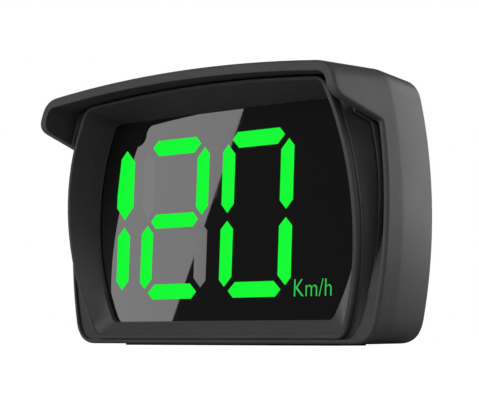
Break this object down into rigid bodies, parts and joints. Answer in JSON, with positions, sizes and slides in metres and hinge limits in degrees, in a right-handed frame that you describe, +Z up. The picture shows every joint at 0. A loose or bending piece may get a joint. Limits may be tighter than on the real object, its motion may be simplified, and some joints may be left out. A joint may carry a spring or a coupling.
{
  "type": "dash-top gps speed display",
  "caption": "Hooded dash-top speed display with a smoked lens, LED digits, a solar strip in the hood's roof and a battery pod with push buttons behind.",
  "frame": {"origin": "on the surface the display stands on, under the middle of its width and depth", "axes": "+X to the driver's right, -Y the lens's side towards the driver, +Z up"},
  "size_m": [0.0906, 0.0358, 0.0545],
  "materials": {
    "case": "fine satin texture, charcoal",
    "bezel": "smooth satin, near black",
    "lens": "smoked acrylic, polished to a gloss",
    "mask": "printed black film",
    "lit_bar": "diffusing plastic, lit green",
    "light_box": "white reflector plastic",
    "board": "green solder mask",
    "chip": "moulded black epoxy",
    "tin": "tinned sheet",
    "screw": "black zinc plated steel",
    "rubber": "matte silicone rubber",
    "foam": "closed-cell foam",
    "solar_cell": "monocrystalline silicon with silver fingers",
    "solar_cover": "clear hard resin",
    "ceramic": "fired ceramic with a silvered face",
    "cell_wrap": "laminated pouch foil",
    "button": "satin",
    "red_lead": "pvc insulation",
    "black_lead": "pvc insulation"
  },
  "bodies": {
    "housing": {"display_lens": "lens", "lens_gasket": "foam", "display_mask": "mask", "diffuser_hundreds": "lit_bar", "diffuser_tens": "lit_bar", "diffuser_units": "lit_bar", "diffuser_unit_label": "lit_bar", "light_box": "light_box", "led_board": "board", "hood_shell": "case", "bezel_frame": "bezel", "rear_cover": "case", "case_screw_left_low": "screw", "case_screw_right_low": "screw", "case_screw_left_high": "screw", "case_screw_right_high": "screw", "front_pad": "rubber", "rear_pad": "rubber", "solar_backing": "board", "solar_cell_1": "solar_cell", "solar_cell_2": "solar_cell", "solar_cell_3": "solar_cell", "solar_cell_4": "solar_cell", "solar_cell_5": "solar_cell", "solar_cell_6": "solar_cell", "solar_cover": "solar_cover", "solar_lead_red": "red_lead", "solar_lead_black": "black_lead", "main_board": "board", "board_link": "chip", "microcontroller": "chip", "gnss_receiver": "tin", "charge_controller": "chip", "charge_inductor": "chip", "buzzer": "chip", "patch_antenna": "ceramic", "battery_pad": "foam", "battery_cell": "cell_wrap", "battery_socket": "light_box", "battery_lead_red": "red_lead", "battery_lead_black": "black_lead", "usb_socket": "tin", "usb_tongue": "chip", "board_screw_left_low": "screw", "board_screw_right_low": "screw", "board_screw_left_high": "screw", "board_screw_right_high": "screw", "power_switch": "chip", "units_switch": "chip"},
    "power_button": {"power_button": "button"},
    "units_button": {"units_button": "button"}
  },
  "joints": [
    {"name": "power_press", "type": "slide", "parent": "housing", "child": "power_button", "axis": [0, -1, 0], "range_m": [0, 0.0005], "stiffness_N_per_m": 900},
    {"name": "units_press", "type": "slide", "parent": "housing", "child": "units_button", "axis": [0, -1, 0], "range_m": [0, 0.0005], "stiffness_N_per_m": 900}
  ]
}
